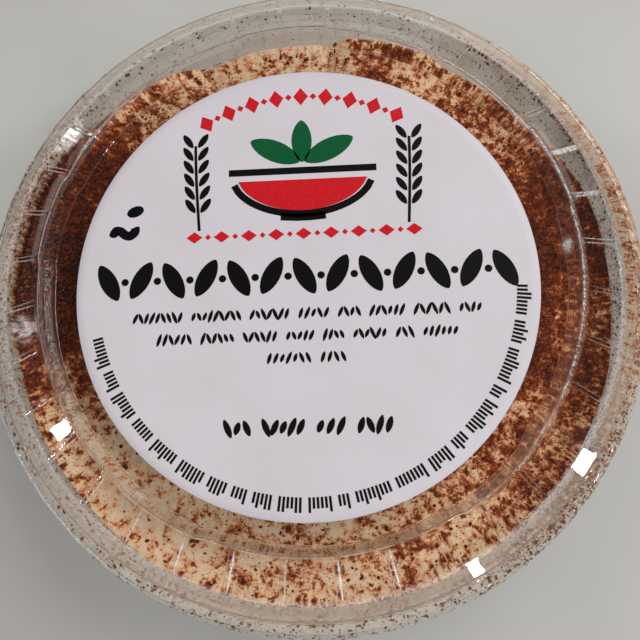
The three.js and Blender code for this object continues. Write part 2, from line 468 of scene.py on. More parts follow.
def make_pudding_material():
    """Set cream under ground cinnamon: pale between soft stains, with crisp specks.
    Where the cinnamon fell thick it is a dark crust."""
    material, tree, surface = material_tree("cinnamon_dusted_cream")
    place = object_place(tree)
    dusting = stored(tree, "dusting")

    def swayed(base, pattern, amount):
        return times_plus(tree, calc(tree, "SUBTRACT", pattern, 0.5), amount, base)

    drift = noise(tree, place, 4.6, detail=3, roughness=0.6, distortion=0.4)
    patch = noise(tree, place, 1.6, detail=3, roughness=0.6, distortion=0.3)
    fine = noise(tree, place, 0.62, detail=3, roughness=0.7)
    streak = noise(tree, around_and_up(tree, place), 0.6, detail=3, roughness=0.6)
    loose = swayed(swayed(dusting, drift, 1.4), patch, span(tree, dusting, 0.2, 0.8, 3.0, 1.9))
    loose = swayed(loose, streak, times(tree, stored(tree, "at_wall"), 2.0))
    tone = swayed(loose, fine, span(tree, loose, 0.1, 0.9, 1.3, 2.0))
    crowd = swayed(loose, patch, 1.5)
    low, high = -0.2, 1.6
    stops = (
        (low, srgb(255, 224, 190)),
        (0.14, srgb(251, 204, 163)),
        (0.36, srgb(232, 162, 114)),
        (0.52, srgb(186, 106, 60)),
        (0.68, srgb(150, 72, 32)),
        (0.92, srgb(112, 44, 17)),
        (1.22, srgb(66, 20, 9)),
        (high, srgb(22, 6, 4)),
    )
    stops = [((at - low) / (high - low), colour) for at, colour in stops]
    ground = ramp(tree, span(tree, tone, low, high), *stops)
    # Specks stand closer together as the cinnamon thickens.
    wobble = node(tree, "ShaderNodeTexNoise", {"Vector": place, "Scale": 2500.0, "Detail": 1.0}, out="Color")
    bent = vector_calc(tree, "ADD", place, vector_calc(tree, "SCALE", wobble, scale=0.00022))

    def cells(across):
        made = node(tree, "ShaderNodeTexVoronoi", {"Vector": bent, "Scale": 1 / (across * MM)}, out=None)
        return made.outputs["Distance"], draws_of(tree, made.outputs["Color"])

    covered = None
    # Size in millimetres, shares kept where the cinnamon is thin and thick, and reach in the cell.
    for across, thin, thick, reach in (
        (0.36, 0.02, 0.75, 0.56),
        (0.62, 0.03, 0.62, 0.54),
        (1.0, 0.03, 0.42, 0.5),
        (1.7, 0.02, 0.24, 0.4),
    ):
        distance, (draw, wide, _) = cells(across)
        kept = calc(tree, "LESS_THAN", draw, span(tree, crowd, 0.15, 0.85, thin, thick))
        radius = times_plus(tree, wide, reach * 0.6, reach * 0.4)
        dot = times(tree, calc(tree, "SUBTRACT", radius, distance), 5.0, clamp=True)
        dot = times(tree, dot, kept)
        covered = dot if covered is None else calc(tree, "MAXIMUM", covered, dot)
    crumb = ramp(
        tree,
        swayed(span(tree, loose, 0.0, 1.6), fine, 0.9),
        (0.0, srgb(146, 74, 32)),
        (0.25, srgb(116, 50, 20)),
        (0.5, srgb(84, 30, 12)),
        (0.8, srgb(40, 12, 6)),
        (1.0, srgb(20, 6, 4)),
    )
    # A few crumbs lie pale on the dark crust.
    distance, (_, draw, _) = cells(0.42)
    light = times(tree, calc(tree, "SUBTRACT", 0.36, distance), 7.0, clamp=True)
    light = times(tree, light, calc(tree, "LESS_THAN", draw, 0.1), 0.6)
    colour = blend_colours(tree, covered, ground, crumb)
    colour = blend_colours(tree, light, colour, srgb(206, 140, 92))
    relief = times_plus(tree, patch, 0.5, times(tree, covered, 0.3))
    body = principled(
        tree,
        colour,
        span(tree, tone, 0.2, 0.8, 0.4, 0.75),
        IOR=1.4,
        Specular_IOR_Level=0.22,
        Subsurface_Weight=0.15,
        Subsurface_Radius=(1.4 * MM, 0.9 * MM, 0.5 * MM),
        Subsurface_Scale=1.0,
        Normal=bump(tree, relief, 0.25, 0.6),
    )
    put(tree, surface, body)
    return material


def make_cinnamon(name, pale, dark):
    """Ground cinnamon: each crumb takes its own brown."""
    material, tree, surface = material_tree(name)
    place = object_place(tree)
    colour = ramp(tree, noise(tree, place, 1.1, detail=1), (0.32, dark), (0.68, pale))
    relief = bump(tree, noise(tree, place, 0.3, detail=3), 0.1, 0.6)
    put(tree, surface, principled(tree, colour, 0.85, Specular_IOR_Level=0.15, Normal=relief))
    return material


def make_label_paper():
    """Coated label paper: an even white with a trace of fibre and of handling."""
    material, tree, surface = material_tree("coated_paper")
    place = object_place(tree)
    fibre = noise(tree, place, 0.5, detail=4, roughness=0.7)
    tone = times_plus(tree, noise(tree, place, 14, detail=3), 0.6, times(tree, fibre, 0.4))
    colour = ramp(tree, tone, (0.3, srgb(195, 190, 197)), (0.7, srgb(204, 199, 207)))
    put(tree, surface, principled(tree, colour, 0.55, Normal=bump(tree, tone, 0.12, 0.25)))
    return material


def make_ink(name, colour, worn, roughness):
    """Printing ink with a faint mottle where the paper shows through."""
    material, tree, surface = material_tree(name)
    mottle = noise(tree, object_place(tree), 0.35, detail=3)
    colours = ramp(tree, mottle, (0.35, colour), (0.8, worn))
    put(tree, surface, principled(tree, colours, roughness, Specular_IOR_Level=0.12))
    return material


def make_floor_material():
    material, tree, surface = material_tree("pale_counter")
    place = object_place(tree)
    cloud = noise(tree, place, 60, detail=3)
    colour = ramp(tree, cloud, (0.3, srgb(176, 175, 172)), (0.7, srgb(186, 185, 182)))
    # Painted shadow: the counter is darker in a soft patch to the lower left.
    shadow_distance = vector_calc(tree, "DISTANCE", place, (-0.085, -0.07, 0.0), out="Value")
    share = span(tree, shadow_distance, 0.07, 0.015, 0.0, 0.75, smooth=True)
    colour = blend_colours(tree, share, colour, srgb(158, 153, 153))
    put(tree, surface, principled(tree, colour, 0.6))
    return material


clear_lid = make_clear_plastic("clear_lid_film", (0.985, 0.982, 0.972, 1), crest=True)
clear_tub = make_clear_plastic("clear_tub_film", (0.975, 0.97, 0.96, 1))
dusted_cream = make_pudding_material()
cinnamon_fine = make_cinnamon("ground_cinnamon_fine", srgb(162, 84, 36), srgb(96, 40, 16))
cinnamon_dark = make_cinnamon("ground_cinnamon_dark", srgb(134, 60, 24), srgb(82, 32, 13))
cinnamon_warm = make_cinnamon("ground_cinnamon_warm", srgb(156, 86, 38), srgb(92, 42, 16))
label_paper = make_label_paper()
red_ink = make_ink("red_ink", srgb(186, 14, 26), srgb(196, 34, 42), 0.5)
green_ink = make_ink("green_ink", srgb(2, 76, 40), srgb(14, 90, 52), 0.5)
black_ink = make_ink("black_ink", srgb(5, 4, 6), srgb(13, 11, 14), 0.45)
marker_ink = make_ink("marker_ink", srgb(6, 6, 11), srgb(16, 16, 23), 0.35)

# ------------------------------------------------------------------ lid


def lid_faces():
    """The lid's upper and under faces, from the panel's middle to the skirt's lower edge, row for row."""
    film, panel, ring_top, ring_outer = LID["film"], LID["panel"], LID["ring_top"], LID["ring_outer"]
    ring_foot, ring_head = (LID["recess"], panel), (LID["ring_inner"], ring_top)
    shoulder_end = (LID["shoulder"], panel)
    shoulder = []
    for r in np.linspace(RIBS["inner"], RIBS["outer"], 9):
        share = (r - ring_outer) / (LID["shoulder"] - ring_outer)
        straight = ring_top + (panel - ring_top) * share
        shoulder.append((r, straight + LID["crown"] * math.sin(math.pi * share)))
    # A radius over 0 is a corner that stands out above, and one under 0 a corner that is hollow above.
    corners = [
        ((0, panel), 0),
        ((20, panel), 0),
        ((41, panel), 0),
        (ring_foot, -0.3),
        *[(point, 0) for point in between(ring_foot, ring_head, (0.25, 0.4, 0.55, 0.7))],
        (ring_head, 0.3),
        ((ring_outer, ring_top), 0.4),
        *[(point, 0) for point in shoulder],
        (shoulder_end, -0.12),
        *[(point, 0) for point in between(shoulder_end, LID["ledge"], (0.42, 0.86))],
        (LID["ledge"], 0.35),
        ((LID["flange"], LID["flange_top"]), -0.3),
        ((55.1, 25.75), 0),
        ((55.95, 25.7), 0.45),
        ((56.75, 24.9), 0.35),
        ((LID["skirt"], LID["seat"]), 0),
    ]
    line = [point for point, _ in corners]
    radii = [radius for _, radius in corners]
    under = other_face(line, film)
    under[-1] = (LID["skirt"] - film, LID["seat"])
    under_radii = [max(q - film, 0.05) if q > 0 else (film - q) * (q < 0) for q in radii]
    return rounded(line, [abs(q) for q in radii]), rounded(under, under_radii)


RELIEF = dict(
    Rib_Count=float(RIBS["count"]),
    Rib_Phase=RIBS["phase"],
    Rib_Width=RIBS["width"] * MM,
    Rib_Height=RIBS["height"] * MM,
    Notch_Count=float(NOTCHES["count"]),
    Notch_Phase=NOTCHES["phase"],
    Notch_Half_Angle=NOTCHES["half_angle"],
    Notch_Ramp=NOTCHES["ramp"],
    Notch_Depth=NOTCHES["depth"] * MM,
    Grip_Count=float(GRIPS["count"]),
    Grip_Phase=GRIPS["phase"],
    Grip_Depth=GRIPS["depth"] * MM,
)


def lid_relief_tree():
    """Ribs across the shoulder, notches in the stacking ring and the skirt's finger grips."""
    tree, given = geometry_tree("lid_relief", **RELIEF)
    inlet = given.outputs
    x, y, _ = numbers_of(tree, node(tree, "GeometryNodeInputPosition"))
    radius = calc(tree, "SQRT", calc(tree, "ADD", times(tree, x, x), times(tree, y, y)))
    degrees = calc(tree, "DEGREES", calc(tree, "ARCTAN2", y, x))

    def from_nearest(kind):
        half_pitch = calc(tree, "DIVIDE", 180.0, inlet[kind + " Count"])
        return calc(tree, "PINGPONG", calc(tree, "SUBTRACT", degrees, inlet[kind + " Phase"]), half_pitch)

    rib_off = times(tree, calc(tree, "RADIANS", from_nearest("Rib")), radius)
    rib = span(tree, calc(tree, "DIVIDE", rib_off, inlet["Rib Width"]), 0.62, 0.4, smooth=True)
    rib = times(tree, rib, attribute(tree, "rib_share"), inlet["Rib Height"])
    grip = span(tree, from_nearest("Grip"), 2.6, 0.8, smooth=True)
    grip = times(tree, grip, attribute(tree, "grip_share"), inlet["Grip Depth"])
    lift = calc(tree, "SUBTRACT", rib, grip)
    notch_off = calc(tree, "SUBTRACT", inlet["Notch Half Angle"], from_nearest("Notch"))
    notch = span(tree, calc(tree, "DIVIDE", notch_off, inlet["Notch Ramp"]), 0.0, 1.0, smooth=True)
    notch = times(tree, notch, attribute(tree, "notch_share"), inlet["Notch Depth"])
    sideways = times_plus(tree, lift, attribute(tree, "face_out"), notch)
    out_x, out_y = calc(tree, "DIVIDE", x, radius), calc(tree, "DIVIDE", y, radius)
    upwards = times(tree, lift, attribute(tree, "face_up"))
    offset = vector(tree, times(tree, out_x, sideways), times(tree, out_y, sideways), upwards)
    moved = node(tree, "GeometryNodeSetPosition", {"Geometry": inlet["Geometry"], "Offset": offset})
    end_tree(tree, given, moved)
    return tree


def rim_fall(degrees):
    """How much cinnamon lies about the rim, from 0 to 1: most of it on the right."""
    falls = (1, 12, 34), (0.85, 322, 26), (0.7, 155, 18), (0.5, 188, 26), (0.34, 265, 50)
    return most(degrees, *falls, rest=0.08)


def lid_columns():
    """Angles of the lid's columns: close together at the sides of the ribs."""
    sides = [0.10, 0.30, 0.36, 0.42, 0.48, 0.54, 0.62]
    pitch = 360 / RIBS["count"]
    flat = list(np.linspace(sides[-1], pitch - sides[-1], 19)[1:-1])
    one = [-side for side in sides[::-1]] + sides + flat
    return np.radians([RIBS["phase"] + pitch * k + turn for k in range(RIBS["count"]) for turn in one])


def make_lid():
    above, below = lid_faces()
    columns = lid_columns()
    lid = turned("lid_shell", below + above[::-1], columns)
    recess, ring_inner, ring_outer = LID["recess"], LID["ring_inner"], LID["ring_outer"]
    # The relief moves both faces alike, along the upper face's normal.
    up = np.array(above)
    along = np.gradient(up, axis=0)
    along /= np.linalg.norm(along, axis=1)[:, None]
    r = up[:, 0]
    rows = np.arange(len(above))
    order = np.concatenate([rows, rows[::-1]])[1:-1]  # the upper face's row for each row of the profile
    under = np.concatenate([np.ones(len(above)), np.zeros(len(above))])[1:-1]
    degrees = np.degrees(columns)

    def keep(name, values):
        """Stores a number for each column and row, and 0 for the two points on the axis."""
        store(lid, name, np.concatenate([values.ravel(), [0, 0]]))

    # Painted highlights: thin white lines along the bends and the rib sides, standing for light reflected
    # there.
    ends = band(r, RIBS["inner"] - 0.1, RIBS["inner"] + 0.1, RIBS["outer"] - 0.1, RIBS["outer"] + 0.1)
    bend_glints = np.maximum.reduce([
        0.17 * peak(r, LID["shoulder"], 0.1),
        0.15 * peak(r, LID["flange"], 0.1),
        0.1 * smoothstep(r, 55.9, 56.3),
    ])
    # A painted glint: a thin bright line along the skirt's edge on the near left.
    skirt_glint = np.outer(1.5 * bell(degrees, 221, 20), peak(r, 56.15, 0.15))
    # The ring is worn to fine grains, most of all on the right; on its crest, random sparkles of painted
    # highlight stand for glints of light.
    random = np.random.default_rng(SEEDS["lid"])
    worn = 0.15 + 0.85 * band(turn_from(0, degrees), -62, -38, 33, 41)
    sparkle = 2.2 * random.random(len(degrees)) ** 2
    on_ring = band(r, ring_inner - 0.05, ring_inner + 0.08, ring_outer, ring_outer + 0.15)
    grains = np.outer(0.24 * (worn * sparkle), on_ring)
    rib_number = np.round((degrees - RIBS["phase"]) / (360 / RIBS["count"])).astype(int) % RIBS["count"]
    glow = random.uniform(0.25, 1.0, RIBS["count"])[rib_number]
    glow *= most(degrees, (0.95, 19, 17), (0.6, 165, 36), rest=0.12)
    for number, strength in {21: 0.6, 22: 0.55, 23: 0.5, 24: 0.9, 25: 1.1, 26: 0.5, 27: 1.2, 28: 1.3}.items():
        glow[rib_number == number] = strength
    # Painted highlights on the ribs: near ribs are painted bright along one side only, and two on the right
    # all over.
    rib_off = turn_from(0, (degrees - RIBS["phase"]) * RIBS["count"]) / RIBS["count"]
    rib_off = np.outer(np.radians(rib_off), r) / RIBS["width"]
    near = bell(degrees, 255, 45)[:, None]
    rib_side = peak(rib_off, 0.51, 0.09 + 0.07 * near) + (1 - 0.8 * near) * peak(rib_off, -0.51, 0.09)
    rib_top = np.isin(rib_number, (1, 2))[:, None] * 0.75 * (np.abs(rib_off) < 0.48)
    ribs = glow[:, None] * (np.maximum(rib_side, rib_top) * ends)
    # A painted highlight: one bright glint on the ring's inner side, where the film is also roughened and
    # grained.
    ring_glint = np.outer(4.2 * bell(degrees, 4.6, 1.0) * (0.3 + sparkle), peak(r, 42.5, 0.2))
    # All these painted highlights are kept together as the pale share.
    keep("pale", np.maximum.reduce([bend_glints + 0 * rib_off, skirt_glint, grains, ribs, ring_glint])[:, order])
    crest = band(r, ring_inner - 0.1, ring_inner + 0.1, ring_outer + 0.1, 44.4)
    keep("crest", np.maximum(np.outer(worn, crest), ring_glint)[:, order])
    frosted = bell(degrees, 262, 40)
    frost = band(r, recess - 0.1, recess + 0.1, ring_inner, ring_inner + 0.1)
    keep("frost", np.outer(0.4 * frosted * (frosted > 0.3), frost)[:, order])
    # Loose cinnamon clings under the flange.
    keep("flange_dust", np.outer(rim_fall(degrees), under * smoothstep(r, 54.2, 54.6)[order]))
    # A coat of it lies under the ledge and on the near side of the ring, and on both faces of the outer
    # bend on the right and of the ring's inner wall on the near left.
    ring_wall = band(r, recess, recess + 0.2, ring_inner - 0.1, ring_inner)[order]
    under_ledge = most(degrees, (0.8, 6, 40), (0.3, 320, 30), rest=0.08)
    keep("powder", np.maximum.reduce([
        np.outer(under_ledge, under * smoothstep(r, 50.9, 51.2)[order]),
        np.outer(0.78 * bell(degrees, 262, 54), under * ring_wall),
        np.outer(0.6 * bell(degrees, 22, 40), smoothstep(r, 54.9, 55.2)[order]),
        np.outer(0.7 * bell(degrees, 222, 14), ring_wall),
    ]))
    # Painted light: a pale sheet lies under the ledge and the flange, brightening them most on the near side
    # and the right.
    painted_light_veil = most(degrees, (0.42, 262, 60), (0.45, 14, 48), rest=0.08)
    keep("painted_light_veil", np.outer(painted_light_veil, under * smoothstep(r, 51.0, 52.4)[order]))
    for name, values in {
        "rib_share": ends,
        "grip_share": band(r, 54.2, 55.2, 56.9, 57.3),
        "notch_share": band(r, recess - 0.5, recess - 0.1, ring_outer + 0.1, 46.0),
        "face_out": -along[:, 1],
        "face_up": along[:, 0],
    }.items():
        keep(name, np.tile(values[order], len(columns)))
    return grown("lid_shell", lid, lid_relief_tree(), clear_lid, **RELIEF)


# ------------------------------------------------------------------ tub


def wall_radius(inset, z):
    """Radius of the drafted wall at a height, inset from its outer face."""
    radius = TUB["corner"] - inset
    corner_top = TUB["corner"] - radius * math.sin(TUB["draft"])
    return TUB["foot"] + radius * math.cos(TUB["draft"]) + (z - corner_top) * math.tan(TUB["draft"])


def tub_outline(inset, heights, corner_steps=8):
    """Half section from the middle of the foot up the wall, inset from the outer face."""
    radius = TUB["corner"] - inset
    out = [(0, inset), (20, inset), (38, inset)]
    for k in range(corner_steps + 1):
        a = -math.pi / 2 + (math.pi / 2 - TUB["draft"]) * k / corner_steps
        out.append((TUB["foot"] + radius * math.cos(a), TUB["corner"] + radius * math.sin(a)))
    return out + [(wall_radius(inset, z), z) for z in heights]


FOOD_RADIUS = wall_radius(TUB["wall"], PUDDING["level"])  # of the skin, where it meets the wall


def make_tub():
    wall, top, rim = TUB["wall"], TUB["rim_top"], TUB["rim"]
    under = top - wall
    outside = tub_outline(0, [9, 13, 17, 20, 22.5, under - 0.5])
    rim_corners = [
        ((wall_radius(0, under - 0.5), under - 0.5), 0),
        ((wall_radius(0, under) + 0.05, under), 0.3),
        ((rim - wall, under), 0.15),
        ((rim - wall, top - TUB["lip"]), 0.12),
        ((rim, top - TUB["lip"]), 0.12),
        ((rim, top), 0.4),
        ((wall_radius(wall, top), top), 0.35),
        ((wall_radius(wall, top - 1.2), top - 1.2), 0),
    ]
    rim_line = rounded([point for point, _ in rim_corners], [radius for _, radius in rim_corners], steps=2)
    inside = tub_outline(wall, [9, 13, 16, 18, 19.5, 20.5, 21.3, 22.0, 22.6, 23.2])[::-1]

    def flute(r, z, angle):
        on_wall = band(z, 10, 14, 23.2, 24.0)
        return r + FLUTES["height"] * on_wall * np.cos(FLUTES["count"] * angle), z

    tub = turned("tub_shell", outside + rim_line[1:] + inside, COLUMNS["tub"], clear_tub, flute)
    x, y, z = coordinates(tub).T
    r, degrees = np.hypot(x, y), heading_of(x, y)
    inner = (np.abs(r - wall_radius(wall, z)) < 0.3) & (z > 15.5) & (z < 24.6)
    over = z - skin_edge(degrees)
    streaks = most(degrees, (1, 172, 34), (1, -14, 42), rest=0.3 * (z > 20.5))
    store(tub, "wall_dust", inner * smoothstep(over, -0.6, 0.1) * streaks)
    on_rim = (z > top - 0.35) & (r > wall_radius(wall, top) - 0.2) & (r < rim - 0.15)
    store(tub, "rim_dust", on_rim * rim_fall(degrees))
    rim_coat = most(degrees, (1, 14, 34), (0.6, 325, 26), (0.6, 160, 26), (0.35, 265, 45), rest=0.15)
    # On the wall a fringe of cinnamon stands over the skin, and a film above that. The far side has two
    # tide lines.
    fringe = most(degrees, (1.6, 168, 36), (0.9, 2, 44), (0.75, 126, 14), rest=0.4)
    fringe *= np.exp(-np.maximum(over, 0) / np.where(np.abs(turn_from(170, degrees)) < 45, 2.6, 1.3))
    film = most(degrees, (0.5, -10, 50), (0.55, 265, 60), (0.3, 172, 40), rest=0.25)
    tide = bell(degrees, 80, 40) * (0.6 * peak(z, 22.6, 0.35) + 0.4 * peak(z, 19.6, 0.5))
    on_wall = inner * (over > -0.8) * np.maximum.reduce([fringe, film, tide])
    store(tub, "powder", np.maximum(on_rim * rim_coat, on_wall))
    # Painted light: a pale sheet on the rim and on the wall just over the skin brightens the film where the
    # counter behind it lies in shade, most of all towards the far right.
    painted_light_veil = most(degrees, (0.78, 42, 32), (0.45, 95, 50), (0.42, 262, 50), rest=0.06)
    store(tub, "painted_light_veil", painted_light_veil * np.maximum(on_rim, inner * (over > -0.3)))
    return tub


# ------------------------------------------------------------------ pudding


def skin_height(x, y):
    """Height of the pudding's skin above its level."""
    height = np.zeros_like(x)
    for swell, length, heading, phase in SWELLS:
        along = x * math.cos(math.radians(heading)) + y * math.sin(math.radians(heading))
        height += swell * np.sin(2 * math.pi * along / length + math.radians(phase))
    r, degrees = np.hypot(x, y), heading_of(x, y)
    climb = PUDDING["meniscus"] * peak(r, FOOD_RADIUS, PUDDING["meniscus_width"])
    climb = climb * (1 + 0.9 * bell(degrees, 172, 30))
    drop = np.interp(degrees % 360, *zip(*LOW_SIDE))
    return height + climb - smoothstep(r, LOW_SIDE_INNER, FOOD_RADIUS) * drop


def skin_edge(degrees):
    """Height of the pudding's edge at the wall."""
    a = np.radians(degrees)
    return PUDDING["level"] + skin_height(FOOD_RADIUS * np.cos(a), FOOD_RADIUS * np.sin(a))


# Where cinnamon fell on the pudding: thickness, then heading and spread in degrees. The thick falls at 173
# and 197 degrees are partly a real crust and partly painted shadow, darkening the left where the label's
# shadow falls.
FALLS = (
    (1.5, 173, 27), (1.06, 150, 19), (0.62, 197, 10), (1.02, 12, 30), (0.82, 342, 26), (0.54, 317, 18),
    (0.32, 290, 16), (0.26, 262, 20), (0.5, 73, 14), (0.56, 46, 16), (0.24, 100, 16), (0.42, 123, 12),
)
THIN_FALL = 0.17


def dusting_at(x, y):
    """Thickness of the cinnamon at a place on the pudding: 1 is a full cover."""
    degrees = heading_of(x, y)
    return most(degrees, *FALLS, rest=THIN_FALL * (1 - 0.9 * bell(degrees, 228, 28)))


def rice_bumps(x, y, height_left):
    """Grains of rice that lift the skin, each a long low bump."""
    random = np.random.default_rng(SEEDS["rice"])
    count = RICE["grains"]
    lift = np.zeros_like(x)
    for _ in range(RICE["rounds"]):
        r = FOOD_RADIUS * np.sqrt(random.random(count))
        a = random.random(count) * 2 * math.pi
        turn = random.random(count) * math.pi
        half_length = random.uniform(2.2, 3.4, count)
        half_width = random.uniform(0.8, 1.2, count)
        tall = random.uniform(0.08, 0.3, count)
        dx, dy = x[:, None] - r * np.cos(a), y[:, None] - r * np.sin(a)
        u, v = dx * np.cos(turn) + dy * np.sin(turn), dy * np.cos(turn) - dx * np.sin(turn)
        bumps = tall * np.exp(-((u / half_length) ** 4) - (v / half_width) ** 2)
        lift = np.maximum(lift, bumps.max(1))
    return lift * height_left


def make_pudding():
    """The pudding's body reaches just into the tub's wall, so that no air shows between them."""
    into_wall = TUB["wall"] - 0.15
    level, foot = PUDDING["level"], TUB["corner"]
    side = tub_outline(into_wall, [8, 10, 12, 14, 16, 18, level], corner_steps=6)
    edge = wall_radius(into_wall, level)
    bend = 0.9 * edge  # outside this radius the skin's rows follow the wall
    rings = list(np.arange(edge - 0.4, 31, -0.45)) + list(np.arange(30, 2, -2.0))
    top = [(r, level) for r in rings] + [(0, level)]

    def raise_skin(r, z, angle):
        r, z = np.asarray(r, float), np.asarray(z, float)
        rim_z = level + skin_height(edge * np.cos(angle), edge * np.sin(angle))
        on_side = z < level - 1e-6
        # The wall's rows close up under a low skin, and the skin's rows follow it.
        share = np.clip((z - foot) / (level - foot), 0, 1)
        side_z = np.where(z > foot, foot + share * (rim_z - foot), z)
        side_r = np.where(z > foot, wall_radius(into_wall, side_z), r)
        skin_z = level + skin_height(r * np.cos(angle), r * np.sin(angle))
        skin_r = r / edge * wall_radius(into_wall, np.where(r > bend, skin_z, level))
        blend = smoothstep(r, bend, edge)
        skin_r = r * (1 - blend) + np.where(r > bend, skin_r, r) * blend
        return np.where(on_side, side_r, skin_r), np.where(on_side, side_z, skin_z)

    pudding = turned("pudding_fill", side + top, COLUMNS["pudding"], dusted_cream, raise_skin)
    co = coordinates(pudding)
    x, y, z = co.T.copy()
    r = np.hypot(x, y)
    skin = np.abs(z - (level + skin_height(x, y))) < 0.4
    inside = skin * (1 - smoothstep(r, edge - 1.2, edge - 0.2))
    chosen = inside > 0
    co[chosen, 2] += rice_bumps(x[chosen], y[chosen], inside[chosen])
    set_coordinates(pudding, co)
    z = co[:, 2]
    dusting = dusting_at(x, y)
    below = smoothstep(skin_edge(heading_of(x, y)) - z, 0.1, 2.5)
    on_wall = (r > wall_radius(into_wall, z) - 0.5) & (z < level + 1)
    store(pudding, "dusting", np.where(on_wall, dusting * (1 - 0.95 * below) - 0.8 * below, dusting))
    store(pudding, "at_wall", smoothstep(r, edge - 4.5, edge - 1.0) * (1 - 0.8 * below * on_wall))
    # Thickness for the loose cinnamon: only on the skin, and thinned under the label where nothing shows it.
    open_part = 0.12 + 0.88 * smoothstep(r, 33, 37)
    store(pudding, "loose", skin * open_part * dusting)
    return pudding


# ------------------------------------------------------------------ cinnamon


def crumb_tree():
    """Crumbs strewn on faces by a stored share, each turned and sized at random and bitten by noise."""
    numbers = dict(Most_Per_Area=1.0e6, Smallest=0.0001, Largest=0.0004, Flatness=0.5, Roughening=0.00005)
    tree, given = geometry_tree("strewn_cinnamon", **numbers, Sides=1, Seed=1)
    inlet = given.outputs

    def draw(low, high, shift=0, kind="FLOAT"):
        seed = calc(tree, "ADD", inlet["Seed"], shift) if shift else inlet["Seed"]
        inputs = {"Min": low, "Max": high, "Seed": seed}
        return node(tree, "FunctionNodeRandomValue", inputs, data_type=kind, out="Value")

    density = times(tree, attribute(tree, "strewn"), inlet["Most Per Area"])
    points = node(
        tree,
        "GeometryNodeDistributePointsOnFaces",
        {"Mesh": inlet["Geometry"], "Density": density, "Seed": inlet["Seed"]},
        out=None,
        distribute_method="RANDOM",
    ).outputs
    size = calc(tree, "POWER", draw(0.0, 1.0), 2.6)
    size = span(tree, size, 0.0, 1.0, inlet["Smallest"], inlet["Largest"])
    shape = draw((0.6, 0.6, 0.7), (1.5, 1.2, 1.0), 7, "FLOAT_VECTOR")
    shape = vector_calc(tree, "MULTIPLY", shape, vector(tree, 1.0, 1.0, inlet["Flatness"]))
    scale = vector_calc(tree, "SCALE", shape, scale=size)
    spin = vector(tree, z=draw(0.0, 6.2832, 3))
    turn = {0: points["Rotation"], 1: spin}
    turn = node(tree, "FunctionNodeRotateRotation", turn, rotation_space="LOCAL")
    crumb = node(tree, "GeometryNodeMeshIcoSphere", {"Radius": 1.0, "Subdivisions": inlet["Sides"]})
    placed = {"Points": points["Points"], "Instance": crumb, "Rotation": turn, "Scale": scale}
    placed = node(tree, "GeometryNodeInstanceOnPoints", placed)
    real = node(tree, "GeometryNodeRealizeInstances", {"Geometry": placed})
    rough = node(tree, "ShaderNodeTexNoise", {"Scale": 2600.0, "Detail": 2.0}, out="Color")
    rough = vector_calc(tree, "SUBTRACT", rough, (0.5, 0.5, 0.5))
    bite = vector_calc(tree, "SCALE", rough, scale=inlet["Roughening"])
    moved = node(tree, "GeometryNodeSetPosition", {"Geometry": real, "Offset": bite})
    end_tree(tree, given, moved)
    return tree


def strew(name, ground, share_name, material, seed, area, smallest, largest, flatness, sides, roughening):
    """Loose cinnamon of one kind on a piece, by one of its stored shares. Sizes are in millimetres."""
    copy = ground.data.copy()
    base = link(bpy.data.objects.new(name, copy))
    numbers = np.zeros(len(copy.vertices), np.float32)
    copy.attributes[share_name].data.foreach_get("value", numbers)
    store(base, "strewn", numbers)
    copy.materials.clear()
    return grown(
        name,
        base,
        crumbs,
        material,
        Seed=seed,
        Most_Per_Area=area,
        Smallest=smallest * MM,
        Largest=largest * MM,
        Flatness=flatness,
        Sides=sides,
        Roughening=roughening * MM,
    )


# ------------------------------------------------------------------ label and print


def to_label(x, y):
    """Label millimetres, from its centre, to the frame's."""
    return LABEL["centre"][0] + x, LABEL["centre"][1] + y


def make_label():
    radius, low, high = LABEL["radius"], LABEL["bottom"], LABEL["top"]
    bevel = 0.05
    profile = [(0, low), (20, low), (radius - bevel, low), (radius, low + bevel), (radius, high - bevel)]
    profile += [(radius - bevel, high)] + [(r, high) for r in np.linspace(radius - 1.5, 2, 14)] + [(0, high)]
    label = turned("label_paper_disc", profile, COLUMNS["label"], label_paper)
    co = coordinates(label)
    co[:, :2] += LABEL["centre"]
    set_coordinates(label, co)
    return label


def print_tree():
    """One motif stamped at every point, turned and sized by what each point stores."""
    tree, given = geometry_tree("stamped_print", Motif=bpy.types.Object)
    inlet = given.outputs
    motif = node(tree, "GeometryNodeObjectInfo", {"Object": inlet["Motif"]}, out="Geometry")
    points = node(tree, "GeometryNodeMeshToPoints", {"Mesh": inlet["Geometry"]})
    turn = node(tree, "FunctionNodeEulerToRotation", {0: vector(tree, z=attribute(tree, "turn"))})
    scale = vector(tree, attribute(tree, "wide"), attribute(tree, "tall"), 1.0)
    placed = {"Points": points, "Instance": motif, "Rotation": turn, "Scale": scale}
    end_tree(tree, given, node(tree, "GeometryNodeInstanceOnPoints", placed))
    return tree


def motif(name, outline):
    """A flat tile of ink with this outline, in millimetres about its middle."""
    n = len(outline)
    points = [(x * MM, y * MM, z * MM) for z in (INK_LOW, INK_HIGH) for x, y in outline]
    faces = [tuple(reversed(range(n))), tuple(range(n, 2 * n))]
    faces += [(i, (i + 1) % n, n + (i + 1) % n, n + i) for i in range(n)]
    return new_object(name, points, faces, smooth=False)


def oval(half_length, half_width, steps=20, point=1.0):
    """An ellipse along X. A point over 1 draws its ends out, as on a grain or a leaf."""
    out = []
    for k in range(steps):
        a = 2 * math.pi * k / steps
        c, s = math.cos(a), math.sin(a)
        out.append((half_length * c, half_width * math.copysign(abs(s) ** point, s)))
    return out


